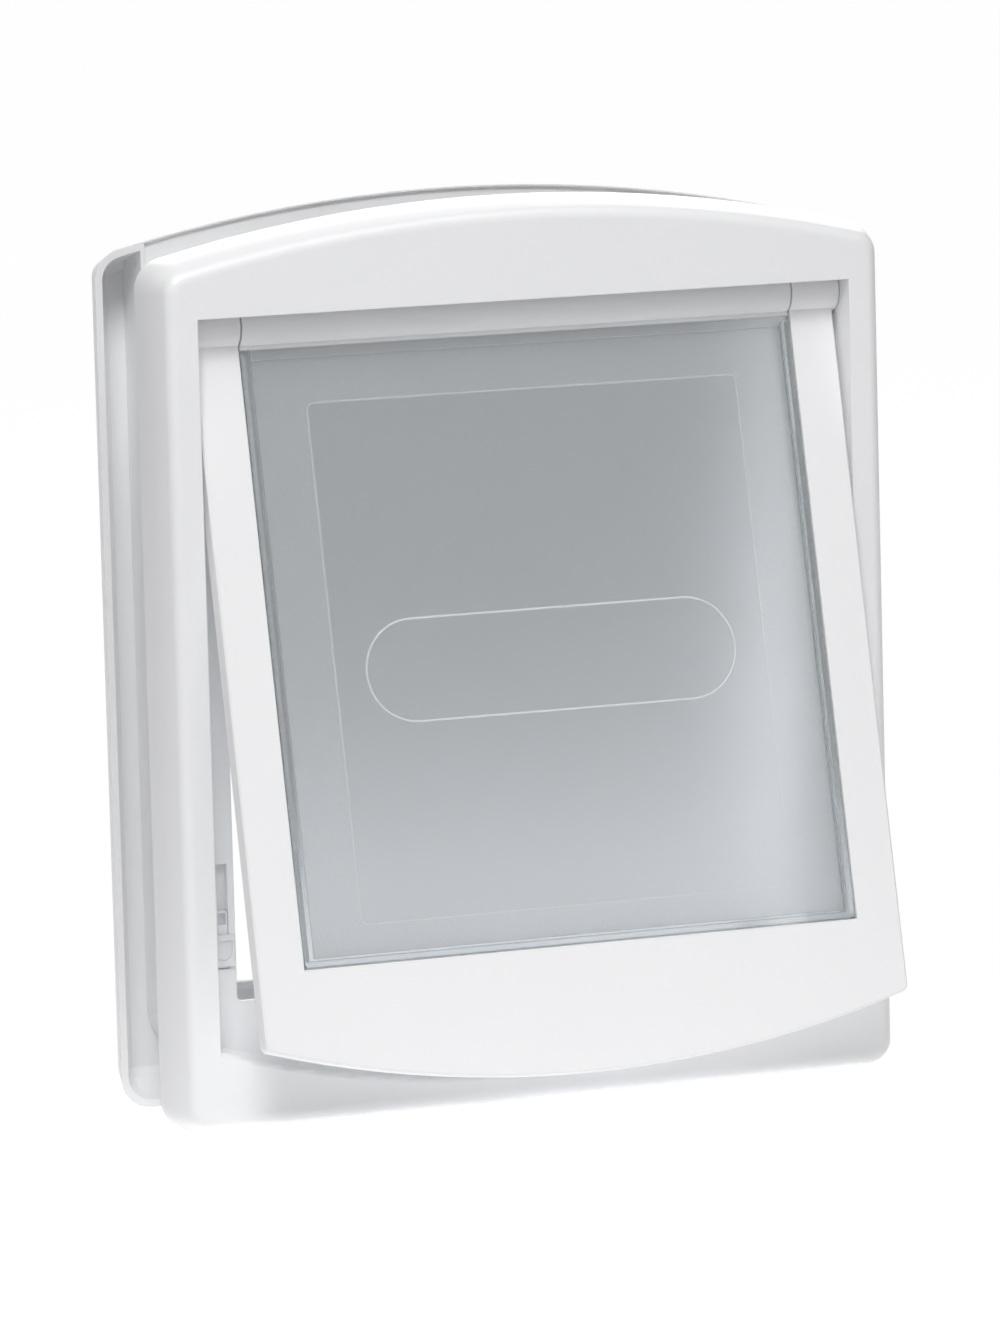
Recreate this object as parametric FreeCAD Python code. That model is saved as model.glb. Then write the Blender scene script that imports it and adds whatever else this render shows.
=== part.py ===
import FreeCAD, Part
import math
import os

from FreeCAD import Vector

# Two-way cat flap with a tunnel that lines the hole in the door.
# Millimetres. X to the right, Y from outdoors to indoors, Z up.
# The origin is on the front frame's door seat: Y 0 is the seat plane, Z 0 the foot of both frames.

# Frames, seen from outdoors
frame_half_width = 99.0
frame_height = 232.6
arch_radius = 391.0
face_corner_radius = 0.35
frame_wall = 2.0
front_depth = 17.2
nose_inset = 5.4
nose_depth = 14.2
nose_edge_radius = 3.2
back_depth = 16.4
back_lean = 15.0
back_edge_radius = 4.5

# Door between the two seats: as set in the photo, and the thinnest that the tunnel allows
door_gap = 31.0
door_gap_least = 26.0

# Pocket in the front frame that the flap closes into, by the bands of frame left round it
pocket_side_band = 10.7
pocket_foot_band = 8.6
pocket_head_band = 21.6
pocket_sag = 13.3
pocket_wall = 1.6
mouth_head_lap = 3.9
mouth_lip_radius = 1.4

# Stop flange behind the flap, by how far it stands out from the pocket's walls
stop_depth = 15.4
stop_thick = 1.8
stop_side_land = 10.1
stop_foot_land = 9.7
stop_corner_radius = 1.5
stop_head_drop = 7.2

# Tunnel: the front frame's part slides inside the back frame's sleeve
sleeve_side_inset = 12.4
sleeve_foot_inset = 11.0
sleeve_head_inset = 17.9
sleeve_wall = 1.6
sleeve_corner_radius = 12.0
sleeve_top_radius = 2.0
tunnel_gap = 0.5
tunnel_wall = 1.6
tunnel_reach = 38.5
sleeve_end_gap = 2.2

# Opening in the back frame, with its return lip, and the header over the sleeve
outlet_side_land = 6.6
outlet_foot_land = 16.6
outlet_head_land = 7.7
outlet_radius = 3.0
lip_wall = 1.8
lip_length = 3.3
lip_bevel = 0.8
header_thick = 1.8
header_recess = 0.8
header_rim = 0.5
web_thick = 1.2

# Hinge
hinge_depth = 12.0
hinge_drop = 7.0
hinge_room = 0.5
barrel_radius = 6.1
pin_radius = 2.0
pin_clearance = 0.05
pin_in_window = 4.2
pin_in_frame = 4.2
pin_draw = 6.0
pin_groove_depth = 0.6
pin_groove_width = 1.4
pin_groove_from_end = 1.2
fork_gap = 0.07
seat_block_width = 5.6
seat_block_height = 10.0
seat_block_depth = 4.0
retainer_head = 1.3
retainer_gap = 0.15
retainer_set_back = 0.4

# Flap, drawn closed and then swung outwards
flap_open_angle = 13.1
surround_thick = 5.0
surround_wall = 1.8
surround_side_gap = 1.2
surround_foot_gap = 0.5
surround_edge_bevel = 0.5
surround_corner_radius = 2.2
leg_width = 12.05
band_height = 19.4
knuckle_gap = 0.45
knuckle_side_gap = 0.2
window_gap = 0.45
window_plate = 1.8
window_set_back = 0.2
window_step = 0.5
window_border_side = 2.6
window_border_foot = 2.2
window_border_head = 9.5
window_rim = 1.6
window_flange_thick = 1.4
window_flange_lap = 2.0
window_flange_gap = 0.3
window_corner_radius = 1.0
band_rib_pitch = 24.0

# Catches: each slides up and down in a slot of the stop flange
catch_side_land = 3.0
catch_width = 4.9
catch_foot_z = 40.5
catch_length = 14.5
catch_travel = 12.0
catch_gap = 0.2
dimple_height = 2.8
dimple_width = 2.8
dimple_margin = 0.5
dimple_depth = 1.2
pad_set_off = 0.4
pad_height = 8.3
pad_lap = 1.5
pad_short = 0.5
pad_proud = 0.7
pad_gap = 0.1
thumb_radius = 2.4
thumb_height = 5.0
thumb_depth = 0.4
catch_plate_thick = 1.6
catch_plate_lap = 0.7
catch_plate_reach = 1.1
catch_plate_drop = 19.0
catch_plate_cover = 1.2
finger_length = 7.3
finger_height = 9.5
hook_width = 1.2
hook_thick = 1.2
hook_neck_height = 2.0
hook_height = 5.7
hook_drop = 4.2
hook_gap = 0.3
keeper_thick = 1.2
keeper_height = 4.2
keeper_bite = 3.2

# Fixing screws and their caps
screw_x = 44.0
screw_over_sleeve = 3.7
screw_under_sleeve = 4.6
screw_radius = 1.75
screw_head_radius = 3.2
screw_head_height = 2.0
screw_grip = 7.5
screw_hole_gap = 0.35
boss_radius = 3.3
boss_bore_depth = 13.0
well_wall = 1.0
cap_radius = 3.5
cap_well_depth = 4.0
cap_gap = 0.15

# Ribs in the front frame's hollow
rib_thick = 1.4
rib_set_back = 3.0
side_rib_count = 3
head_rib_count = 3

# Planes through the door
hinge_y = hinge_depth - front_depth
front_face_y = -front_depth
stop_y = stop_depth - front_depth
stop_back_y = stop_y + stop_thick
back_face_y = door_gap + back_depth
back_floor_y = back_face_y - frame_wall
sleeve_reach = door_gap_least - stop_back_y - sleeve_end_gap

# The back frame's side leans in this far; the frames' corners are just rounder than that
back_face_inset = (
    back_edge_radius + (back_depth - back_edge_radius) * math.sin(math.radians(back_lean))
) / math.cos(math.radians(back_lean))
corner_radius = max(back_face_inset, nose_inset) + face_corner_radius

# Edges of the openings, seen from outdoors
pocket_half_width = frame_half_width - pocket_side_band
pocket_top_z = frame_height - pocket_head_band
pocket_side_z = pocket_foot_band + pocket_sag
mouth_top_z = pocket_top_z - mouth_head_lap
bottom_radius = (pocket_half_width ** 2 + pocket_sag ** 2) / (2 * pocket_sag)
bottom_centre_z = pocket_foot_band + bottom_radius
stop_half_width = pocket_half_width - stop_side_land
stop_sill_z = pocket_side_z + stop_foot_land
sleeve_half_width = frame_half_width - sleeve_side_inset
sleeve_floor_z = sleeve_foot_inset
sleeve_top_z = frame_height - sleeve_head_inset
tunnel_inset = sleeve_wall + tunnel_gap
tunnel_half_width = sleeve_half_width - tunnel_inset
outlet_half_width = sleeve_half_width - outlet_side_land
outlet_sill_z = sleeve_floor_z + outlet_foot_land
outlet_top_z = sleeve_top_z - outlet_head_land
hinge_z = pocket_top_z - hinge_drop
window_half_width = pocket_half_width - surround_side_gap - leg_width
window_sill_z = pocket_side_z + band_height
screw_top_z = sleeve_top_z + screw_over_sleeve
screw_foot_z = sleeve_floor_z - screw_under_sleeve

# The right-hand catch, pushed down, and the bar that its hook goes behind when it is pushed up
catch_outer = pocket_half_width - catch_side_land - catch_gap
catch_inner = catch_outer - catch_width
catch_top_z = catch_foot_z + catch_length
catch_plate_y = stop_back_y + catch_gap
catch_plate_back_y = catch_plate_y + catch_plate_thick
catch_plate_foot_z = catch_foot_z - catch_plate_drop
catch_plate_top_z = catch_top_z + catch_travel + catch_gap + catch_plate_cover
hook_foot_z = catch_top_z - hook_drop
hook_top_z = hook_foot_z + hook_height
keeper_foot_z = hook_top_z + catch_travel - keeper_bite


def box(x0, x1, y0, y1, z0, z1):
    """Block between two corners."""
    return Part.makeBox(x1 - x0, y1 - y0, z1 - z0, Vector(x0, y0, z0))


def rod_x(radius, x0, x1, y, z):
    """Round bar along X."""
    return Part.makeCylinder(radius, x1 - x0, Vector(x0, y, z), Vector(1, 0, 0))


def rod_y(radius, y0, y1, x, z):
    """Round bar along Y."""
    return Part.makeCylinder(radius, y1 - y0, Vector(x, y0, z), Vector(0, 1, 0))


def mirrored(shape):
    """The left-hand copy of a right-hand shape."""
    return shape.mirror(Vector(0, 0, 0), Vector(1, 0, 0))


def both_sides(shape):
    """A shape and its mirror image across the middle."""
    return shape.fuse(mirrored(shape))


def prism(wire, depth):
    """Solid of a closed wire pushed along Y."""
    return Part.Face(wire).extrude(Vector(0, depth, 0))


def arc(a, b, c):
    """Arc edge through three points."""
    return Part.Arc(a, b, c).toShape()


def line(a, b):
    """Straight edge."""
    return Part.LineSegment(a, b).toShape()


def arched_wire(y, side_inset, foot_inset, top_inset, radius):
    """Outline of a frame: flat foot, straight sides, arched top, round corners."""
    half = frame_half_width - side_inset
    crest = frame_height - top_inset
    big = arch_radius - top_inset
    centre_z = crest - big
    top_z = centre_z + math.sqrt((big - radius) ** 2 - (half - radius) ** 2)
    reach = big / (big - radius)
    join_x = (half - radius) * reach
    join_z = centre_z + (top_z - centre_z) * reach
    middle = math.atan2(join_z - top_z, join_x - (half - radius)) / 2
    slant = radius * math.sqrt(0.5)
    foot = foot_inset

    def at(x, z):
        return Vector(x, y, z)

    top_mid_x = half - radius + radius * math.cos(middle)
    top_mid_z = top_z + radius * math.sin(middle)
    corner_x = half - radius + slant
    corner_z = foot + radius - slant
    edges = [
        line(at(-half + radius, foot), at(half - radius, foot)),
        arc(at(half - radius, foot), at(corner_x, corner_z), at(half, foot + radius)),
        line(at(half, foot + radius), at(half, top_z)),
        arc(at(half, top_z), at(top_mid_x, top_mid_z), at(join_x, join_z)),
        arc(at(join_x, join_z), at(0, crest), at(-join_x, join_z)),
        arc(at(-join_x, join_z), at(-top_mid_x, top_mid_z), at(-half, top_z)),
        line(at(-half, top_z), at(-half, foot + radius)),
        arc(at(-half, foot + radius), at(-corner_x, corner_z), at(-half + radius, foot)),
    ]
    return Part.Wire(edges)


def wall_profile(points, seat_y, face_y, inset):
    """Face of a bezel's side wall on the right, from points given as (inward, away from the seat)."""
    way = 1 if face_y > seat_y else -1
    outer = frame_half_width - inset

    def at(place):
        return Vector(outer - place[0], seat_y + way * place[1], 0)

    edges = []
    for run in points:
        if len(run) == 3:
            edges.append(arc(at(run[0]), at(run[1]), at(run[2])))
        else:
            edges.append(line(at(run[0]), at(run[1])))
    end = points[-1][-1]
    edges.append(line(at(end), at((end[0], 0))))
    edges.append(line(at((end[0], 0)), at((0, 0))))
    return Part.Face(Part.Wire(edges))


def bullnose_runs(depth):
    """Front bezel's side: a short straight land, a long bulge and a tighter edge on to the face."""
    land = depth - nose_depth
    bulge = (nose_inset ** 2 + nose_depth ** 2 - 2 * nose_depth * nose_edge_radius) / (
        2 * (nose_inset - nose_edge_radius)
    )
    turn = math.atan2(nose_depth - nose_edge_radius, bulge - nose_inset)

    def on_bulge(angle):
        return (bulge * (1 - math.cos(angle)), land + bulge * math.sin(angle))

    def on_edge(angle):
        across = nose_inset - nose_edge_radius * math.cos(angle)
        return (across, depth - nose_edge_radius * (1 - math.sin(angle)))

    half_way = (turn + math.pi / 2) / 2
    return [
        ((0, 0), (0, land)),
        ((0, land), on_bulge(turn / 2), on_bulge(turn)),
        (on_bulge(turn), on_edge(half_way), (nose_inset, depth)),
    ]


def leaning_runs(depth, radius):
    """Back bezel's side: a straight wall that leans in, and a round edge on to the face."""
    lean = math.radians(back_lean)
    centre_v = depth - radius
    centre_u = (radius + centre_v * math.sin(lean)) / math.cos(lean)

    def on_edge(angle):
        return (centre_u - radius * math.cos(angle), centre_v + radius * math.sin(angle))

    return [
        ((0, 0), on_edge(lean)),
        (on_edge(lean), on_edge((lean + math.pi / 2) / 2), (centre_u, depth)),
    ]


def straightened(runs):
    """The same side with a flat in place of each arc, as a mould's core has inside a bezel."""
    return [(run[0], run[-1]) for run in runs]


def bezel_block(runs, seat_y, face_y, inset):
    """Frame-shaped block: a side wall's profile swept round the outline, and the core inside it."""
    profile = wall_profile(runs, seat_y, face_y, inset)
    corner_x = frame_half_width - corner_radius
    centre_z = frame_height - arch_radius
    top_z = centre_z + math.sqrt((arch_radius - corner_radius) ** 2 - corner_x ** 2)
    turn = math.degrees(math.atan2(top_z - centre_z, corner_x))
    along_y = Vector(0, 1, 0)

    foot_profile = profile.translated(Vector(0, 0, corner_radius))
    side = foot_profile.extrude(Vector(0, 0, top_z - corner_radius))
    low_corner = foot_profile.revolve(Vector(corner_x, 0, corner_radius), along_y, 90)
    top_profile = profile.translated(Vector(0, 0, top_z))
    top_corner = top_profile.revolve(Vector(corner_x, 0, top_z), along_y, -turn)
    foot_face = foot_profile.copy()
    foot_face.rotate(Vector(corner_x, 0, corner_radius), along_y, 90)
    foot = foot_face.extrude(Vector(-2 * corner_x, 0, 0))
    arch_face = top_profile.copy()
    arch_face.rotate(Vector(corner_x, 0, top_z), along_y, -turn)
    arch = arch_face.revolve(Vector(0, 0, centre_z), along_y, -2 * (90 - turn))

    reach = inset + runs[-1][-1][0]
    core = prism(arched_wire(seat_y, reach, reach, reach, corner_radius - reach), face_y - seat_y)
    sides = [side, low_corner, top_corner]
    pieces = sides + [mirrored(piece) for piece in sides] + [foot, arch]
    return core.fuse(pieces).removeSplitter()


def smile_wire(y, grow, top_z):
    """Outline with square top corners and a lower edge that sags in an arc."""
    half = pocket_half_width + grow
    radius = bottom_radius + grow
    side_z = bottom_centre_z - math.sqrt(radius ** 2 - half ** 2)
    low_z = bottom_centre_z - radius
    edges = [
        line(Vector(-half, y, top_z), Vector(-half, y, side_z)),
        arc(Vector(-half, y, side_z), Vector(0, y, low_z), Vector(half, y, side_z)),
        line(Vector(half, y, side_z), Vector(half, y, top_z)),
        line(Vector(half, y, top_z), Vector(-half, y, top_z)),
    ]
    return Part.Wire(edges)


def tube_block(half, foot_z, top_z, foot_radius, top_radius, y0, y1):
    """Block with round edges along Y, larger at the foot than at the top."""
    block = box(-half, half, y0, y1, foot_z, top_z)
    along = [e for e in block.Edges if e.BoundBox.YLength > y1 - y0 - 0.01]
    foot_edges = [e for e in along if e.BoundBox.ZMax < foot_z + 0.01]
    block = block.makeFillet(foot_radius, foot_edges)
    along = [e for e in block.Edges if e.BoundBox.YLength > y1 - y0 - 0.01]
    top_edges = [e for e in along if e.BoundBox.ZMin > top_z - 0.01]
    return block.makeFillet(top_radius, top_edges)


def sleeve_block(inset, y0, y1):
    """The sleeve's section, drawn in by an inset."""
    top_radius = max(sleeve_top_radius - inset, 0.3)
    return tube_block(
        sleeve_half_width - inset,
        sleeve_floor_z + inset,
        sleeve_top_z - inset,
        sleeve_corner_radius - inset,
        top_radius,
        y0,
        y1,
    )


def screw_places():
    """The four fixing points."""
    return [(x, z) for z in (screw_foot_z, screw_top_z) for x in (-screw_x, screw_x)]


def front_core(inset):
    """The inside of the front bezel, a given depth below its surface."""
    runs = straightened(bullnose_runs(front_depth - inset))
    return bezel_block(runs, 0, front_face_y + inset, inset)


def front_shell():
    """The bezel: a rounded tray open towards the door."""
    solid = bezel_block(bullnose_runs(front_depth), 0, front_face_y, 0)
    return solid.cut(front_core(frame_wall))


def front_ribs():
    """Stiffening ribs between the bezel's wall and the pocket's wall."""
    y0 = front_face_y + frame_wall / 2
    y1 = -rib_set_back
    far = frame_half_width
    ribs = []
    first_z = stop_sill_z
    step = (hinge_z - seat_block_height - first_z) / side_rib_count
    for i in range(side_rib_count):
        z = first_z + i * step
        ribs.append(both_sides(box(pocket_half_width + pocket_wall / 2, far, y0, y1, z, z + rib_thick)))
    pitch = 2 * pocket_half_width / head_rib_count
    for i in range(head_rib_count + 1):
        x = -pocket_half_width + i * pitch - rib_thick / 2
        ribs.append(box(x, x + rib_thick, y0, y1, pocket_top_z + pocket_wall / 2, frame_height))
        ribs.append(box(x, x + rib_thick, y0, y1, 0, pocket_side_z))
    return ribs


def pin_channel(x0, x1, gap):
    """Slot for a hinge pin, round at the bottom and open towards the door."""
    radius = pin_radius + gap
    bore = rod_x(radius, x0, x1, hinge_y, hinge_z)
    return bore.fuse(box(x0, x1, hinge_y, 0, hinge_z - radius, hinge_z + radius))


def seat_block():
    """Block beside the pocket that carries the right-hand hinge pin."""
    x0 = pocket_half_width + pocket_wall / 2
    x1 = pocket_half_width + seat_block_width
    y0 = hinge_y - pin_radius - seat_block_depth
    y1 = -retainer_set_back - retainer_head
    half = seat_block_height / 2
    return box(x0, x1, y0, y1, hinge_z - half, hinge_z + half)


def catch_slot():
    """Hole in the right-hand stop flange that a catch slides in, and room behind it in the tunnel."""
    slot = box(
        catch_inner - catch_gap, catch_outer + catch_gap,
        stop_y - 1, stop_back_y + 0.01,
        catch_foot_z - catch_gap, catch_top_z + catch_travel + catch_gap,
    )
    relief = box(
        stop_half_width, tunnel_half_width + 1,
        stop_back_y, catch_plate_back_y + catch_gap,
        catch_plate_foot_z - catch_gap, catch_plate_top_z + catch_travel + catch_gap,
    )
    return slot.fuse(relief)


def knuckle_room():
    """Space for the knuckles and the barrel, cut from the stop flange and the tunnel's sides."""
    back_y = hinge_y + barrel_radius + hinge_room
    head_z = hinge_z - stop_head_drop
    return box(-pocket_half_width, pocket_half_width, stop_y - 1, back_y, head_z, pocket_top_z)


def build_front_frame():
    """Outer frame with the flap's pocket, the stop flange and the inner tunnel."""
    inside_y = front_face_y + frame_wall
    outer_wire = smile_wire(front_face_y, pocket_wall, pocket_top_z + pocket_wall)
    pocket_outside = prism(outer_wire, stop_back_y - front_face_y)
    pocket_inside = prism(smile_wire(inside_y, 0, pocket_top_z), stop_y - inside_y)
    mouth = prism(smile_wire(front_face_y - 1, 0, mouth_top_z), frame_wall + 2)
    plate = sleeve_block(tunnel_inset, stop_y, stop_back_y)
    tunnel = sleeve_block(tunnel_inset, stop_back_y, tunnel_reach)
    bore = sleeve_block(tunnel_inset + tunnel_wall, stop_back_y, tunnel_reach + 1)
    through = tube_block(
        stop_half_width, stop_sill_z, pocket_top_z,
        stop_corner_radius, stop_corner_radius,
        stop_y - 1, stop_back_y + 1,
    )
    walls = pocket_outside.fuse([plate, both_sides(seat_block())] + front_ribs() + front_bosses())
    frame = front_shell().fuse(walls.common(front_core(frame_wall / 2).fuse(plate)))
    frame = frame.cut([pocket_inside, mouth])
    frame = frame.fuse(tunnel.cut(bore)).cut([through, knuckle_room()])
    frame = frame.cut([both_sides(catch_slot()), front_bores()])
    channel = pin_channel(pocket_half_width - 1, pocket_half_width + seat_block_width + 1, pin_clearance)
    frame = frame.cut(both_sides(channel))
    frame = frame.removeSplitter()
    return soften_mouth(frame)


def soften_mouth(frame):
    """Round the lower lip of the mouth."""
    lip = []
    for edge in frame.Edges:
        bounds = edge.BoundBox
        on_face = abs(bounds.YMin - front_face_y) < 0.01 and bounds.YLength < 0.01
        sags = bounds.ZMax < pocket_side_z + 0.5 and bounds.XLength > pocket_half_width
        inside = bounds.ZMin > pocket_foot_band - 0.1
        if on_face and sags and inside and bounds.ZLength > pocket_sag / 2:
            lip.append(edge)
    return frame.makeFillet(mouth_lip_radius, lip)


def front_bosses():
    """Bosses for the fixing screws, inside the bezel."""
    y0 = front_face_y + frame_wall / 2
    return [rod_y(boss_radius, y0, 0, x, z) for x, z in screw_places()]


def front_bores():
    """Pilot holes in the bosses, open towards the door."""
    radius = screw_radius + pin_clearance
    bores = [rod_y(radius, -boss_bore_depth, 1, x, z) for x, z in screw_places()]
    return bores[0].fuse(bores[1:])


def back_outside():
    """The back bezel's outer form."""
    return bezel_block(leaning_runs(back_depth, back_edge_radius), door_gap, back_face_y, 0)


def back_core(inset):
    """The inside of the back bezel, a given depth below its surface."""
    runs = leaning_runs(back_depth - inset, back_edge_radius - inset)
    return bezel_block(straightened(runs), door_gap, back_face_y - inset, inset)


def header():
    """Closed band between the sleeve's top and the arch, between two webs."""
    half = sleeve_half_width
    low = sleeve_top_z - sleeve_wall / 2
    block = box(-half, half, door_gap, door_gap + header_thick, low, frame_height)
    low = sleeve_top_z - sleeve_top_radius
    web = box(half - web_thick, half, door_gap, back_floor_y + 0.5, low, frame_height)
    return block.fuse(both_sides(web))


def header_hollow():
    """Shallow recess in the band, which leaves the arch's rim and the webs standing."""
    rim = header_rim
    arch = prism(arched_wire(door_gap, rim, rim, rim, corner_radius - rim), header_recess)
    half = sleeve_half_width - web_thick
    return arch.common(box(-half, half, door_gap, door_gap + header_recess, sleeve_top_z, frame_height))


def outlet_block(grow, y0, y1):
    """The outlet's section, grown by a wall."""
    return tube_block(
        outlet_half_width + grow,
        outlet_sill_z - grow,
        outlet_top_z + grow,
        outlet_radius + grow,
        outlet_radius + grow,
        y0,
        y1,
    )


def outlet_lip():
    """Return lip round the outlet, standing in towards the tunnel, with its inner edge eased."""
    y0 = back_face_y - lip_length
    y1 = back_face_y - frame_wall / 2
    ring = outlet_block(lip_wall, y0, y1).cut(outlet_block(0, y0 - 1, y1 + 1))
    nose = []
    for edge in ring.Edges:
        bounds = edge.BoundBox
        inner = max(abs(bounds.XMin), abs(bounds.XMax)) < outlet_half_width + 0.01
        level = bounds.ZMin > outlet_sill_z - 0.01 and bounds.ZMax < outlet_top_z + 0.01
        if bounds.YMax < y0 + 0.01 and inner and level:
            nose.append(edge)
    return ring.makeChamfer(lip_bevel, nose)


def build_back_frame():
    """Inner frame: hollow bezel, sleeve, outlet with a return lip, screw wells."""
    shell = back_outside().cut(back_core(frame_wall))
    sleeve = sleeve_block(0, door_gap - sleeve_reach, back_floor_y + 0.5)
    sleeve_bore = sleeve_block(sleeve_wall, door_gap - sleeve_reach - 1, back_floor_y)
    outlet = outlet_block(0, back_floor_y - 1, back_face_y + 1)
    places = screw_places()
    boss_y = door_gap + header_thick
    bosses = [rod_y(cap_radius + well_wall, boss_y, back_face_y, x, z) for x, z in places]
    inner = header().fuse(bosses).common(back_core(frame_wall / 2))
    frame = shell.fuse([inner, sleeve]).cut([sleeve_bore, outlet, header_hollow()]).fuse(outlet_lip())
    hole_radius = screw_radius + screw_hole_gap
    holes = [rod_y(hole_radius, door_gap - 1, back_face_y + 1, x, z) for x, z in places]
    well_y = back_face_y - cap_well_depth
    wells = [rod_y(cap_radius, well_y, back_face_y + 1, x, z) for x, z in places]
    return frame.cut(holes + wells).removeSplitter()


def opened(shape):
    """Swing a piece of the flap outwards from closed to its place in the photo."""
    turned = shape.copy()
    turned.rotate(Vector(0, hinge_y, hinge_z), Vector(1, 0, 0), -flap_open_angle)
    return turned


def surround_bounds():
    """Front and back of the closed surround."""
    half = surround_thick / 2
    return hinge_y - half, hinge_y + half


def build_surround():
    """White outer flap: two legs and a curved band, hollow at the back, with knuckles."""
    y0, y1 = surround_bounds()
    half = pocket_half_width - surround_side_gap
    body = prism(trimmed_smile(y0, half, surround_foot_gap, hinge_z), surround_thick)
    foot_corners = [
        e for e in body.Edges
        if e.BoundBox.YLength > surround_thick - 0.01 and e.BoundBox.ZMax < window_sill_z
    ]
    body = body.makeFillet(surround_corner_radius, foot_corners)
    window_hole = box(-window_half_width, window_half_width, y0 - 1, y1 + 1, window_sill_z, hinge_z + 1)
    body = body.cut(window_hole)
    front_edges = []
    for edge in body.Edges:
        bounds = edge.BoundBox
        on_face = abs(bounds.YMin - y0) < 0.01 and bounds.YLength < 0.01
        if on_face and bounds.ZMax < hinge_z - 0.01:
            front_edges.append(edge)
    body = body.makeChamfer(surround_edge_bevel, front_edges)
    wall = surround_wall
    hollow_top = hinge_z - barrel_radius - wall
    hollow_wire = trimmed_smile(y0 + wall, half - wall, surround_foot_gap + wall, hollow_top)
    hollow = prism(hollow_wire, surround_thick)
    keep = box(
        -window_half_width - surround_wall, window_half_width + surround_wall,
        y0, y1 + 1, window_sill_z - surround_wall, hinge_z + 1,
    )
    body = body.cut(hollow.cut(keep))
    ribs = band_ribs(y0, y1)
    keepers = both_sides(keeper(y1))
    body = body.fuse([ribs, keepers])
    start = window_half_width + knuckle_gap - window_gap
    end = pocket_half_width - knuckle_side_gap
    knuckle = rod_x(barrel_radius, start, end, hinge_y, hinge_z)
    bore = rod_x(pin_radius + pin_clearance, start - 1, end + 1, hinge_y, hinge_z)
    body = body.fuse(both_sides(knuckle)).cut(both_sides(bore))
    return opened(body.removeSplitter())


def trimmed_smile(y, half, foot_gap, top_z):
    """Outline inside the pocket: its own half width, and a foot that follows the pocket's arc."""
    radius = bottom_radius - foot_gap
    side_z = bottom_centre_z - math.sqrt(radius ** 2 - half ** 2)
    low_z = bottom_centre_z - radius
    return Part.Wire([
        line(Vector(-half, y, top_z), Vector(-half, y, side_z)),
        arc(Vector(-half, y, side_z), Vector(0, y, low_z), Vector(half, y, side_z)),
        line(Vector(half, y, side_z), Vector(half, y, top_z)),
        line(Vector(half, y, top_z), Vector(-half, y, top_z)),
    ])


def band_ribs(y0, y1):
    """Upright ribs in the hollow of the surround's bottom band."""
    count = int(window_half_width / band_rib_pitch)
    half = rib_thick / 2
    sunk = surround_wall / 2
    ribs = []
    for i in range(-count, count + 1):
        x = i * band_rib_pitch
        low = bottom_centre_z - math.sqrt((bottom_radius - surround_foot_gap) ** 2 - x ** 2)
        ribs.append(box(x - half, x + half, y0 + sunk, y1 - 1, low + sunk, window_sill_z - sunk))
    return ribs[0].fuse(ribs[1:])


def keeper(y1):
    """Bar across the right leg's hollow, which the raised catch's hook holds from in front."""
    x0 = window_half_width + surround_wall / 2
    x1 = pocket_half_width - surround_side_gap - surround_wall / 2
    return box(x0, x1, y1 - keeper_thick, y1, keeper_foot_z, keeper_foot_z + keeper_height)


def build_window():
    """Tinted panel: clear barrel, stepped plate, rim running back, flange behind the surround."""
    y0 = hinge_y - surround_thick / 2 + window_set_back
    y1 = hinge_y + surround_thick / 2 + window_flange_gap
    half = window_half_width - window_gap
    sill = window_sill_z + window_gap
    back_y = y1 + window_flange_thick
    block = box(-half, half, y0, back_y, sill, hinge_z)
    foot_edges = [
        e for e in block.Edges
        if e.BoundBox.YLength > back_y - y0 - 0.01 and e.BoundBox.ZMax < sill + 0.01
    ]
    block = block.makeFillet(window_corner_radius, foot_edges)
    tray = box(
        -half + window_rim, half - window_rim,
        y0 + window_plate, back_y + 1,
        sill + window_rim, hinge_z + barrel_radius,
    )
    body = block.cut(tray)
    lap = window_flange_lap
    top = hinge_z - barrel_radius - surround_wall
    flange = box(-half - lap, half + lap, y1, back_y, sill - lap, top)
    inner = half - window_rim
    flange = flange.cut(box(-inner, inner, y1 - 1, back_y + 1, sill + window_rim, top + 1))
    rim_head = box(-half - 1, half + 1, y0 + window_plate, back_y + 1, top, hinge_z + 1)
    body = body.cut(rim_head).fuse(flange)
    step = box(
        -half + window_border_side, half - window_border_side,
        y0 - 1, y0 + window_step,
        sill + window_border_foot, hinge_z - window_border_head,
    )
    body = body.cut(step)
    barrel = rod_x(barrel_radius, -half, half, hinge_y, hinge_z)
    body = body.fuse(barrel)
    start = half - pin_in_window - pin_draw
    bore = rod_x(pin_radius + pin_clearance, start, half + 1, hinge_y, hinge_z)
    body = body.cut(both_sides(bore))
    return opened(body.removeSplitter())


def pin_end():
    """Outer end of the right-hand hinge pin."""
    return pocket_half_width + pin_in_frame


def build_pin():
    """Steel stub pin of the right-hand hinge, with a groove that its retainer forks into."""
    start = window_half_width - window_gap - pin_in_window
    pin = rod_x(pin_radius, start, pin_end(), hinge_y, hinge_z)
    far = pin_end() - pin_groove_from_end
    near = far - pin_groove_width
    ring = rod_x(pin_radius + 1, near, far, hinge_y, hinge_z)
    core = rod_x(pin_radius - pin_groove_depth, near, far, hinge_y, hinge_z)
    return pin.cut(ring.cut(core))


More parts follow.
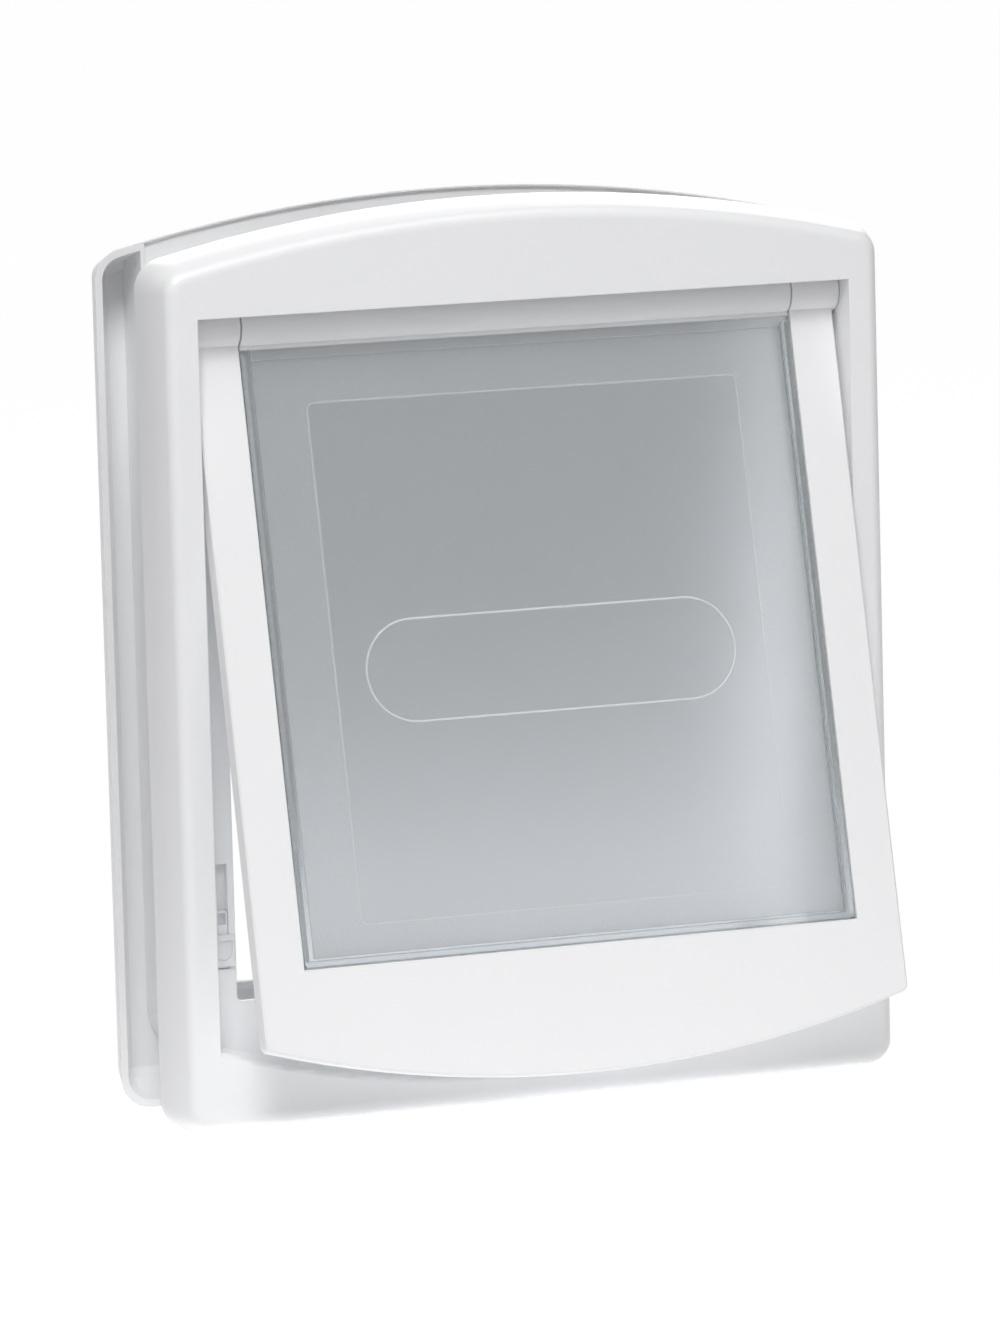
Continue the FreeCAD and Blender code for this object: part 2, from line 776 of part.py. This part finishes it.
def build_retainer():
    """Forked plug that closes the right-hand pin's slot from behind and holds the pin by its groove."""
    gap = retainer_gap
    x0 = pocket_half_width + gap
    x1 = pocket_half_width + seat_block_width - gap
    half = pin_radius - 0.1
    head_y = -retainer_set_back - retainer_head
    plug = box(x0, x1, hinge_y + pin_radius + pin_clearance, head_y + 0.5, hinge_z - half, hinge_z + half)
    grow = seat_block_height / 2 - gap
    head = box(x0 + pocket_wall + gap, x1, head_y, -retainer_set_back, hinge_z - grow, hinge_z + grow)
    far = pin_end() - pin_groove_from_end - fork_gap
    near = far - pin_groove_width + 2 * fork_gap
    throat = pin_radius - pin_groove_depth + fork_gap
    fork = box(near, far, hinge_y - pin_radius / 4, head_y, hinge_z - half, hinge_z + half)
    ring = rod_x(throat, near - 1, far + 1, hinge_y, hinge_z)
    low = hinge_z - throat
    mouth = box(near - 1, far + 1, hinge_y - pin_radius, hinge_y, low, hinge_z + throat)
    return plug.fuse([head, fork.cut([ring, mouth])]).removeSplitter()


def build_catch():
    """Sliding catch of the right-hand stop flange, unlocked."""
    shank = box(catch_inner, catch_outer, stop_y, catch_plate_back_y, catch_foot_z, catch_top_z)
    dimple_x = catch_inner + dimple_margin
    dimple_top = catch_top_z - dimple_margin
    dimple = box(
        dimple_x, dimple_x + dimple_width,
        stop_y - 1, stop_y + dimple_depth,
        dimple_top - dimple_height, dimple_top,
    )
    pad, thumb = thumb_pad()
    return shank.fuse([catch_plate(), pad, catch_hook()]).cut([dimple, thumb]).removeSplitter()


def catch_plate():
    """The catch's plate behind the stop flange, with the finger that stops the panel when it is up."""
    inner = catch_inner - catch_gap - catch_plate_lap
    outer = catch_outer + catch_gap + catch_plate_reach
    foot = catch_plate_foot_z
    plate = box(inner, outer, catch_plate_y, catch_plate_back_y, foot, catch_plate_top_z)
    finger = box(inner - finger_length, outer, catch_plate_y, catch_plate_back_y, foot, foot + finger_height)
    return plate.fuse(finger)


def thumb_pad():
    """The catch's pad in front of the stop flange, and the hollow in it for a fingertip."""
    inner = catch_inner - pad_lap
    outer = catch_outer - pad_short
    low = catch_foot_z + pad_set_off
    high = low + pad_height
    front_y = stop_y - pad_proud
    pad = box(inner, outer, front_y, stop_y - pad_gap, low, high)
    root = box(catch_inner, outer, front_y, stop_y, low, high)
    middle = (inner + outer) / 2
    thumb_top = (low + high + thumb_height) / 2
    round_z = thumb_top - thumb_height + thumb_radius
    thumb = rod_y(thumb_radius, front_y - 1, front_y + thumb_depth, middle, round_z)
    straight = box(
        middle - thumb_radius, middle + thumb_radius, front_y - 1, front_y + thumb_depth, round_z, thumb_top
    )
    return pad.fuse(root), thumb.fuse(straight)


def catch_hook():
    """The catch's hook: a neck that reaches into the surround's leg, and a head turned up."""
    keeper_y = hinge_y + surround_thick / 2 - keeper_thick
    back_y = keeper_y - hook_gap
    front_y = back_y - hook_thick
    inner = catch_outer - hook_width
    head = box(inner, catch_outer, front_y, back_y, hook_foot_z, hook_top_z)
    neck = box(inner, catch_outer, front_y, stop_y, hook_foot_z, hook_foot_z + hook_neck_height)
    return head.fuse(neck)


def build_screws():
    """Four blunt self-tapping screws, heads in the back frame's wells."""
    seat_y = back_face_y - cap_well_depth
    screws = []
    for x, z in screw_places():
        shank = rod_y(screw_radius, -screw_grip, seat_y, x, z)
        head = rod_y(screw_head_radius, seat_y, seat_y + screw_head_height, x, z)
        screws.append(shank.fuse(head).removeSplitter())
    return Part.makeCompound(screws)


def build_caps():
    """Four press-in caps that follow the back frame's surface."""
    outside = back_outside()
    caps = []
    for x, z in screw_places():
        y0 = back_face_y - cap_well_depth + screw_head_height + cap_gap
        disc = rod_y(cap_radius - pin_clearance, y0, back_face_y + 1, x, z)
        caps.append(disc.common(outside))
    return Part.makeCompound(caps)


def main():
    os.makedirs("parts", exist_ok=True)
    pin = build_pin()
    retainer = build_retainer()
    catch = build_catch()
    pieces = {
        "front_frame": build_front_frame(),
        "back_frame": build_back_frame(),
        "flap_surround": build_surround(),
        "flap_window": build_window(),
        "hinge_pin_left": mirrored(pin),
        "hinge_pin_right": pin,
        "pin_retainer_left": mirrored(retainer),
        "pin_retainer_right": retainer,
        "lock_slide_left": mirrored(catch),
        "lock_slide_right": catch,
        "fixing_screws": build_screws(),
        "screw_caps": build_caps(),
    }
    for name, shape in pieces.items():
        shape.exportStep("parts/" + name + ".step")
        print(name, len(shape.Solids), shape.isValid(), round(shape.Volume))


main()
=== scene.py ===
import math

import bmesh
import bpy
from mathutils import Matrix, Vector


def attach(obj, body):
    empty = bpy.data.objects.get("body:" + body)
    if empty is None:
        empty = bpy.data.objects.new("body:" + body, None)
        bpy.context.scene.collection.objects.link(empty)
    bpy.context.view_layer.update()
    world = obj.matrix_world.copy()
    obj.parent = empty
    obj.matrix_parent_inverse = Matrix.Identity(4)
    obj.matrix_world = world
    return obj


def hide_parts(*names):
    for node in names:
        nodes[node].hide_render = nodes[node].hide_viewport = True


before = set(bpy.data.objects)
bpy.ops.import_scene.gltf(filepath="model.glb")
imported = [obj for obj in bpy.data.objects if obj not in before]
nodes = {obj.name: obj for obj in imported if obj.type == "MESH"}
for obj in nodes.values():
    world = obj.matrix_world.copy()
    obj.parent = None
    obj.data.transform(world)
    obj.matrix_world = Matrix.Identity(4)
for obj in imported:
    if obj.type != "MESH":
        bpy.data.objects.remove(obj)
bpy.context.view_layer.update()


# The two frames
# Injection moulded in white ABS, with a satin gloss skin. The outer one faces the weather, the inner one
# carries the sleeve that lines the hole, and four screws pull the pair together through the door.

class Wire:
    """A node's output that works in Python sums."""

    def __init__(self, shader, socket):
        self.shader = shader
        self.socket = socket

    def _math(self, operation, *values):
        return self.shader.add("ShaderNodeMath", {"operation": operation}, values)

    def __add__(self, other):
        return self._math("ADD", self, other)

    def __sub__(self, other):
        return self._math("SUBTRACT", self, other)

    def __rsub__(self, other):
        return self._math("SUBTRACT", other, self)

    def __mul__(self, other):
        return self._math("MULTIPLY", self, other)

    __radd__ = __add__
    __rmul__ = __mul__


class Finish:
    """A material that is written as sums of its nodes."""

    def __init__(self, name):
        self.material = bpy.data.materials.new(name)
        self.material.use_nodes = True
        self.tree = self.material.node_tree
        self.tree.nodes.clear()

    def add(self, kind, settings, values, output=0):
        """One node: its settings, then its inputs by number or name."""
        node = self.tree.nodes.new(kind)
        for key, value in settings.items():
            setattr(node, key, value)
        pairs = values.items() if isinstance(values, dict) else enumerate(values)
        for key, value in pairs:
            if isinstance(value, Wire):
                self.tree.links.new(value.socket, node.inputs[key])
            else:
                node.inputs[key].default_value = value
        return Wire(self, node.outputs[output]) if node.outputs else node

    def place(self):
        """Object coordinates, in metres."""
        return self.add("ShaderNodeTexCoord", {}, {}, "Object")

    def grain(self, place, scale, detail):
        """Noise from 0 to 1 with features of about 1/scale metres."""
        values = {"Vector": place, "Scale": scale, "Detail": detail, "Roughness": 0.5}
        return self.add("ShaderNodeTexNoise", {}, values, "Fac")

    def tint(self, share, dark, light):
        """Colour between two, by a share from 0 to 1."""
        mix = self.tree.nodes.new("ShaderNodeMix")
        mix.data_type = "RGBA"
        for socket, value in zip((mix.inputs[0], mix.inputs[6], mix.inputs[7]), (share, dark, light)):
            if isinstance(value, Wire):
                self.tree.links.new(value.socket, socket)
            elif socket == mix.inputs[0]:
                socket.default_value = value
            else:
                socket.default_value = (*value, 1)
        return Wire(self, mix.outputs[2])

    def bump(self, height, strength, distance, edge_round):
        """Surface relief, over edges that a mould leaves a little round."""
        edges = self.add("ShaderNodeBevel", {"samples": 4}, {"Radius": edge_round})
        values = {"Strength": strength, "Distance": distance, "Height": height, "Normal": edges}
        return self.add("ShaderNodeBump", {}, values)

    def skin(self, values):
        """One layer of the surface."""
        return self.add("ShaderNodeBsdfPrincipled", {}, values)

    def surface(self, values):
        """The finished surface, of one layer."""
        return self.finished(self.skin(values))

    def finished(self, shader):
        """The material, with its surface in place."""
        self.add("ShaderNodeOutputMaterial", {}, {"Surface": shader})
        return self.material


def wear(node, material):
    """Give a solid of the part its finish."""
    nodes[node].material_slots[0].material = material


def moulded_white(name, light, dark, roughness, skin):
    """White moulding: faint mottling in the colour, orange peel in the gloss."""
    finish = Finish(name)
    place = finish.place()
    cloud = finish.grain(place, 28, 3)
    peel = finish.grain(place, 900, 2)
    speck = finish.grain(place, 4200, 1)
    gloss = roughness + (cloud - 0.5) * 0.10 + (speck - 0.5) * 0.06
    relief = finish.bump(peel + speck * 0.35, skin, 0.00004, 0.00035)
    return finish.surface({
        "Base Color": finish.tint(cloud, dark, light),
        "Roughness": gloss,
        "Normal": relief,
        "IOR": 1.5,
        "Specular IOR Level": 0.5,
    })


frame_white = moulded_white("frame_white", (0.88, 0.883, 0.89), (0.865, 0.868, 0.876), 0.30, 0.35)
for node in ("front_frame", "back_frame", "pin_retainer_left", "pin_retainer_right"):
    wear(node, frame_white)


# The U-shaped outer flap
# The same plastic in a thinner moulding with a finer, flatter skin, its colour painted a little whiter than
# the frame's for the light it catches.
# Its legs carry half of the hinge each, and its wide band is what a cat pushes from indoors.

# A lighter copy of the frame's white: painted light on the flap.
flap_white_painted_lighter = moulded_white("flap_white_painted_lighter", (0.90, 0.90, 0.907), (0.885, 0.885, 0.893), 0.38, 0.22)
wear("flap_surround", flap_white_painted_lighter)


# The tinted panel
# Smoke-tinted acrylic, etched to a frost over the plate, smoother at the rim and milky along the hinge
# barrel, where the milky white is also painted light for what the clear rod gathers. A rectangle inside the
# plate is etched finer, with a bare oblong plaque in the middle.

# Sizes in the panel's own plane: across from its middle, and down from the hinge.
panel_turn = math.radians(13.1)
hinge_place = Vector((0, -0.0052, 0.204))
etched = ((0.0, 0.0868), (0.0583, 0.0658), 0.002)
plaque = ((0.0, 0.090), (0.0500, 0.0130), 0.0130)
rim_side, rim_foot, barrel_foot = 0.0718, 0.1598, 0.0066
edge_blur = 0.0004


def oblong(finish, across, down, shape):
    """Signed distance to a rounded oblong, in metres: negative inside it."""
    (middle_x, middle_v), (half_x, half_v), radius = shape

    def beyond(value, half):
        offset = finish.add("ShaderNodeMath", {"operation": "ABSOLUTE"}, [value])
        return offset - (half - radius)

    def above_zero(value):
        return finish.add("ShaderNodeMath", {"operation": "MAXIMUM"}, [value, 0.0])

    out_x = beyond(across - middle_x, half_x)
    out_v = beyond(down - middle_v, half_v)
    square = above_zero(out_x) * above_zero(out_x) + above_zero(out_v) * above_zero(out_v)
    outside = finish.add("ShaderNodeMath", {"operation": "SQRT"}, [square])
    larger = finish.add("ShaderNodeMath", {"operation": "MAXIMUM"}, [out_x, out_v])
    inside = finish.add("ShaderNodeMath", {"operation": "MINIMUM"}, [larger, 0.0])
    return outside + inside - radius


def ease(finish, value, start, end):
    """0 below start, 1 above end, smooth between."""
    settings = {"interpolation_type": "SMOOTHSTEP"}
    return finish.add("ShaderNodeMapRange", settings, {"Value": value, "From Min": start, "From Max": end})


def engraved_line(finish, edge):
    """1 on a fine line along an edge, given the distance to it, and 0 off it."""
    distance = finish.add("ShaderNodeMath", {"operation": "ABSOLUTE"}, [edge])
    return 1 - ease(finish, distance, 0.0001, 0.0003)


def smoke_panel():
    """The whole panel's finish, laid out in the plane of the panel."""
    finish = Finish("smoke_panel")
    turn = Matrix.Rotation(panel_turn, 4, "X")
    shift = -(turn @ hinge_place)
    settings = {"vector_type": "POINT"}
    values = {"Vector": finish.place(), "Location": shift, "Rotation": (panel_turn, 0, 0)}
    flat = finish.add("ShaderNodeMapping", settings, values)
    across = finish.add("ShaderNodeSeparateXYZ", {}, [flat], 0)
    height = finish.add("ShaderNodeSeparateXYZ", {}, [flat], 2)
    down = 0 - height

    etched_edge = oblong(finish, across, down, etched)
    plaque_edge = oblong(finish, across, down, plaque)
    faint_line = engraved_line(finish, etched_edge) * 0.45
    plaque_line = engraved_line(finish, plaque_edge)
    cut = finish.add("ShaderNodeMath", {"operation": "MAXIMUM"}, [faint_line, plaque_line])
    fine = 1 - ease(finish, etched_edge, -0.0002, 0.0002)

    side = finish.add("ShaderNodeMath", {"operation": "ABSOLUTE"}, [across])
    rim = ease(finish, side, rim_side, rim_side + edge_blur)
    foot = ease(finish, down, rim_foot, rim_foot + edge_blur)
    barrel = 1 - ease(finish, down, barrel_foot, barrel_foot + edge_blur)
    smooth = finish.add("ShaderNodeMath", {"operation": "MAXIMUM"}, [rim, foot])
    smooth = finish.add("ShaderNodeMath", {"operation": "MAXIMUM"}, [smooth, barrel])
    plate = 1 - smooth
    outside = 1 - fine

    speck = finish.grain(flat, 2600, 2)
    coarse = finish.grain(flat, 1500, 2)
    frost = 0.46 + (speck - 0.5) * 0.22
    rough = frost * plate + 0.20 * smooth
    relief = (coarse * outside + speck * 0.25) * plate - cut * 1.2
    shade = finish.tint(speck * outside + fine * 0.5, (0.63, 0.66, 0.68), (0.76, 0.78, 0.80))
    shade = finish.tint(smooth, shade, (0.62, 0.66, 0.68))
    normal = finish.bump(relief, 0.5, 0.0001, 0.0002)
    glass = finish.skin({
        "Base Color": shade,
        "Roughness": rough,
        "Normal": normal,
        "IOR": 1.49,
        "Transmission Weight": 1.0,
    })
    # Along the hinge barrel a milky white layer covers most of the surface: milky plastic, and also painted
    # light standing in for the light the clear rod gathers from the white frame.
    milk_and_painted_light = finish.tint(barrel, (0.84, 0.86, 0.87), (0.93, 0.94, 0.95))
    milky_painted_light_layer = finish.skin({"Base Color": milk_and_painted_light, "Roughness": 0.30, "Normal": normal})
    frosted = (0.09 + speck * 0.06 + outside * 0.06) * plate
    cloud = frosted + smooth * 0.16 + barrel * 0.76 + cut * 0.5
    return finish.finished(finish.add("ShaderNodeMixShader", {}, [cloud, glass, milky_painted_light_layer]))


wear("flap_window", smoke_panel())


# The catches and the screw caps
# White acetal, a slightly greyer white than the frames. The catches slide on the stop flange, and the caps
# press into the inner frame over the heads of the screws.

catch_white = moulded_white("catch_white", (0.83, 0.835, 0.85), (0.80, 0.806, 0.82), 0.34, 0.25)
for node in ("lock_slide_left", "lock_slide_right", "screw_caps"):
    wear(node, catch_white)


# The hinge pins
# Short lengths of bright drawn steel wire, ground and tumbled, pushed in from each side of the mouth.
# The screws are headed and threaded from wire of the same finish.

def drawn_steel():
    """Steel with fine lengthwise drawing marks."""
    finish = Finish("drawn_steel")
    place = finish.place()
    cloud = finish.grain(place, 300, 3)
    streak = finish.grain(place, 2500, 2)
    return finish.surface({
        "Base Color": finish.tint(cloud, (0.50, 0.51, 0.52), (0.66, 0.67, 0.68)),
        "Metallic": 1.0,
        "Roughness": 0.26 + (streak - 0.5) * 0.18,
        "Normal": finish.bump(streak, 0.2, 0.00002, 0.00015),
    })


steel = drawn_steel()
for node in ("hinge_pin_left", "hinge_pin_right"):
    wear(node, steel)


# The fixing screws
# Four zinc plated self-cutting screws with a low pan head and a cross recess. They pass through the inner
# frame, cut their thread in the pillars of the outer frame and clamp the door between the two.

screw_tip, under_head, head_top = -0.0075, 0.0434, 0.0454
crest, root, plain = 0.00175, 0.00138, 0.00165
pitch = 0.0013
thread_end = screw_tip + 0.0260
head_radius = 0.0032
recess_reach, recess_half, recess_depth = 0.0017, 0.00045, 0.0012
screw_sides = 24
steps_per_turn = 8
flank_share = 0.38
point_length = 0.0030
screws_across, screws_upward, screws_middle = 0.088, 0.212, 0.1124


def thread_radius(along, turn):
    """Radius of the thread at a height over the tip and a share of a turn."""
    step = (along / pitch - turn) % 1.0
    ridge = max(0.0, 1 - abs(step - 0.5) / flank_share)
    taper = min(1.0, along / point_length)
    runout = min(1.0, max(0.0, (thread_end - screw_tip - along) / pitch))
    return (root + (crest - root) * ridge * runout) * taper


def screw_mesh():
    """One screw on the Y axis, with its head towards +Y."""
    angles = [2 * math.pi * side / screw_sides for side in range(screw_sides)]
    rows = []
    lengths = int((thread_end - screw_tip) / (pitch / steps_per_turn))
    for step in range(1, lengths + 1):
        along = step * pitch / steps_per_turn
        turned = [thread_radius(along, side / screw_sides) for side in range(screw_sides)]
        rows.append([(radius, screw_tip + along) for radius in turned])
    profile = [(plain, thread_end + 0.0006), (plain, under_head), (head_radius, under_head)]
    profile += [(head_radius, under_head + 0.0010), (head_radius - 0.0003, under_head + 0.0016)]
    profile += [(head_radius - 0.0010, head_top), (recess_reach + 0.00005, head_top)]
    rows += [[point] * screw_sides for point in profile]
    for radius in (recess_reach, 0.0013, 0.00085, 0.00043):
        row = []
        for angle in angles:
            offset = min(abs(math.cos(angle)), abs(math.sin(angle))) * radius
            row.append((radius, head_top - (recess_depth if offset < recess_half else 0.0)))
        rows.append(row)

    shape = bmesh.new()
    rings = []
    for row in rows:
        ring = []
        for angle, (radius, along) in zip(angles, row):
            ring.append(shape.verts.new((radius * math.cos(angle), along, radius * math.sin(angle))))
        rings.append(ring)
    for below, above in zip(rings, rings[1:]):
        for side in range(screw_sides):
            after = (side + 1) % screw_sides
            face = shape.faces.new((below[side], below[after], above[after], above[side]))
            face.smooth = above[side].co.y < under_head - 0.0001
    for ring, along in ((rings[0], screw_tip), (rings[-1], head_top - recess_depth)):
        centre = shape.verts.new((0, along, 0))
        for side in range(screw_sides):
            shape.faces.new((ring[side], ring[(side + 1) % screw_sides], centre))
    bmesh.ops.recalc_face_normals(shape, faces=shape.faces)
    mesh = bpy.data.meshes.new("screw")
    shape.to_mesh(mesh)
    shape.free()
    return mesh


class Layout(Finish):
    """A Geometry Nodes tree, written in the same way as a finish."""

    def __init__(self, name):
        self.tree = bpy.data.node_groups.new(name, "GeometryNodeTree")
        sockets = self.tree.interface
        sockets.new_socket("Geometry", in_out="INPUT", socket_type="NodeSocketGeometry")
        sockets.new_socket("Geometry", in_out="OUTPUT", socket_type="NodeSocketGeometry")
        self.entry = self.tree.nodes.new("NodeGroupInput")
        self.leave = self.tree.nodes.new("NodeGroupOutput")
        self.keys = {}

    def given(self, name, kind):
        """One named input of the tree."""
        socket = self.tree.interface.new_socket(name, in_out="INPUT", socket_type=kind)
        self.keys[name] = socket.identifier
        return Wire(self, self.entry.outputs[name])


def screw_pattern():
    """The four places of the screws, at the corners of an upright rectangle."""
    layout = Layout("screw_pattern")
    across = layout.given("Across", "NodeSocketFloat")
    upward = layout.given("Upward", "NodeSocketFloat")
    middle = layout.given("Middle Height", "NodeSocketFloat")
    metal = layout.given("Metal", "NodeSocketMaterial")
    sizes = {"Size X": across, "Size Y": upward, "Vertices X": 2, "Vertices Y": 2}
    corners = layout.add("GeometryNodeMeshGrid", {}, sizes)
    lift = layout.add("ShaderNodeCombineXYZ", {}, {"Z": middle})
    stand = {"Geometry": corners, "Translation": lift, "Rotation": (math.radians(90), 0, 0)}
    corners = layout.add("GeometryNodeTransform", {}, stand)
    single = Wire(layout, layout.entry.outputs["Geometry"])
    copies = layout.add("GeometryNodeInstanceOnPoints", {}, {"Points": corners, "Instance": single})
    solid = layout.add("GeometryNodeRealizeInstances", {}, {"Geometry": copies})
    done = layout.add("GeometryNodeSetMaterial", {}, {"Geometry": solid, "Material": metal})
    layout.tree.links.new(done.socket, layout.leave.inputs["Geometry"])
    return layout


screws = bpy.data.objects.new("fixing_screw_set", screw_mesh())
bpy.context.scene.collection.objects.link(screws)
pattern = screw_pattern()
spread = screws.modifiers.new("pattern", "NODES")
spread.node_group = pattern.tree
spread[pattern.keys["Across"]] = screws_across
spread[pattern.keys["Upward"]] = screws_upward
spread[pattern.keys["Middle Height"]] = screws_middle
spread[pattern.keys["Metal"]] = steel
seen = screws.evaluated_get(bpy.context.evaluated_depsgraph_get())
whole_set = bpy.data.meshes.new_from_object(seen)
screws.modifiers.clear()
screws.data = whole_set
screws.data.name = "fixing_screw_set"
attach(screws, "inner_frame")
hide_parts("fixing_screws")


# The studio
# A white floor with a faint shadow and a weak glow round the object, seen through the panel as a painted
# glow fading to painted shade, a dim sky that looks white, three soft lamps, and a small card lamp behind
# that only lights the tunnel. A long lens looks at it.

paper_white = 1.02
floor_share = 0.97
table_glow, glow_full, glow_end = 0.45, 0.12, 0.40
# Depths along Y, in metres, over which the floor seen through the panel fades from painted glow to painted
# shade.
painted_fade_start, painted_fade_end = 0.20, 0.50


def seen_directly(paths):
    """1 for rays that show the studio to the camera, straight or by a reflection."""
    camera = paths.add("ShaderNodeLightPath", {}, {}, "Is Camera Ray")
    mirrored = paths.add("ShaderNodeLightPath", {}, {}, "Is Glossy Ray")
    return paths.add("ShaderNodeMath", {"operation": "MAXIMUM"}, [camera, mirrored])


def white_floor():
    """Matt white sweep: paper white to the camera, a glow round the object, and through the panel a painted
    glow near the object that fades to painted shade further back.
    """
    finish = Finish("white_floor")
    place = finish.add("ShaderNodeNewGeometry", {}, {}, "Position")
    middle = (0.0, -0.05, 0)
    away = finish.add("ShaderNodeVectorMath", {"operation": "DISTANCE"}, [place, middle], "Value")
    strength = table_glow * (1 - ease(finish, away, glow_full, glow_end))
    table = finish.add("ShaderNodeEmission", {}, {"Strength": strength})
    sheet = finish.add("ShaderNodeBsdfDiffuse", {}, {"Color": (0.88, 0.88, 0.89, 1)})
    sheet = finish.add("ShaderNodeAddShader", {}, [sheet, table])
    glow = finish.add("ShaderNodeEmission", {}, {"Color": (1, 1, 1, 1), "Strength": paper_white})
    direct = finish.add("ShaderNodeMixShader", {}, [seen_directly(finish) * floor_share, sheet, glow])
    # Seen through the panel, the floor glows brighter than white near the object and fades to dark further
    # back: painted light and shade.
    depth = finish.add("ShaderNodeSeparateXYZ", {}, [place], 1)
    painted_fade = ease(finish, depth, painted_fade_start, painted_fade_end)
    painted_glow_and_shade = finish.tint(painted_fade, (1.22, 1.24, 1.28), (0.17, 0.175, 0.18))
    behind = finish.add("ShaderNodeEmission", {}, {"Color": painted_glow_and_shade, "Strength": 1.0})
    through = finish.add("ShaderNodeLightPath", {}, {}, "Is Transmission Ray")
    mixed = finish.add("ShaderNodeMixShader", {}, [through, direct, behind])
    finish.add("ShaderNodeOutputMaterial", {}, {"Surface": mixed})
    return finish.material


floor_mesh = bpy.data.meshes.new("floor")
reach = 12.0
corners = [(-reach, -reach, 0), (reach, -reach, 0), (reach, reach, 0), (-reach, reach, 0)]
floor_mesh.from_pydata(corners, [], [(0, 1, 2, 3)])
floor = bpy.data.objects.new("floor", floor_mesh)
bpy.context.scene.collection.objects.link(floor)
floor.location.z = -0.0002
floor.data.materials.append(white_floor())


class Sky(Finish):
    """The studio's light from all round, written the same way."""

    def __init__(self, name):
        self.world = bpy.data.worlds.new(name)
        self.world.use_nodes = True
        self.tree = self.world.node_tree
        self.tree.nodes.clear()


sky = Sky("studio")
room = sky.add("ShaderNodeBackground", {}, {"Color": (0.93, 0.96, 1.0, 1), "Strength": 0.02})
paper = sky.add("ShaderNodeBackground", {}, {"Color": (1, 1, 1, 1), "Strength": paper_white})
dim = sky.add("ShaderNodeBackground", {}, {"Color": (0.96, 0.98, 1.0, 1), "Strength": 0.42})
shown = sky.add("ShaderNodeMixShader", {}, [seen_directly(sky), room, paper])
through = sky.add("ShaderNodeLightPath", {}, {}, "Is Transmission Ray")
whole = sky.add("ShaderNodeMixShader", {}, [through, shown, dim])
sky.add("ShaderNodeOutputWorld", {}, {"Surface": whole})
bpy.context.scene.world = sky.world


def soft_lamp(name, place, target, width, height, power, mirrored, spread_angle=180):
    """Area lamp that faces a target, and that gloss and the panel show or don't show."""
    light = bpy.data.lights.new(name, "AREA")
    light.shape = "RECTANGLE"
    light.size = width
    light.size_y = height
    light.energy = power
    light.spread = math.radians(spread_angle)
    lamp = bpy.data.objects.new(name, light)
    lamp.location = place
    lamp.rotation_euler = (Vector(target) - Vector(place)).to_track_quat("-Z", "Y").to_euler()
    lamp.visible_camera = False
    lamp.visible_transmission = mirrored
    lamp.visible_glossy = mirrored
    bpy.context.scene.collection.objects.link(lamp)


soft_lamp("key", (-0.50, -1.05, 1.50), (0, 0, 0.10), 0.45, 0.6, 17.3, True)
soft_lamp("overhead", (-0.10, -0.50, 1.40), (0, 0, 0.10), 1.4, 1.0, 8.2, True)
soft_lamp("rear", (0.5, 1.3, 0.8), (0, 0.04, 0.11), 1.0, 0.8, 4.5, True)
soft_lamp("card", (-0.06, 0.22, 0.075), (0.085, 0.0, 0.06), 0.05, 0.10, 0.15, False, 70)

lens = bpy.data.cameras.new("camera")
lens.lens = 216.98
lens.sensor_width = 36
lens.clip_end = 100
camera = bpy.data.objects.new("camera", lens)
right = Vector((0.931627, -0.362451, -0.026467))
up = Vector((0.074707, 0.119730, 0.989992))
ahead = Vector((0.355655, 0.924280, -0.138621))
view = Matrix((right, up, -ahead)).transposed().to_4x4()
view.translation = (-0.72775, -1.881817, 0.395551)
camera.matrix_world = view
bpy.context.scene.collection.objects.link(camera)
bpy.context.scene.camera = camera
bpy.context.scene.view_settings.view_transform = "Standard"
bpy.context.scene.cycles.diffuse_bounces = 8
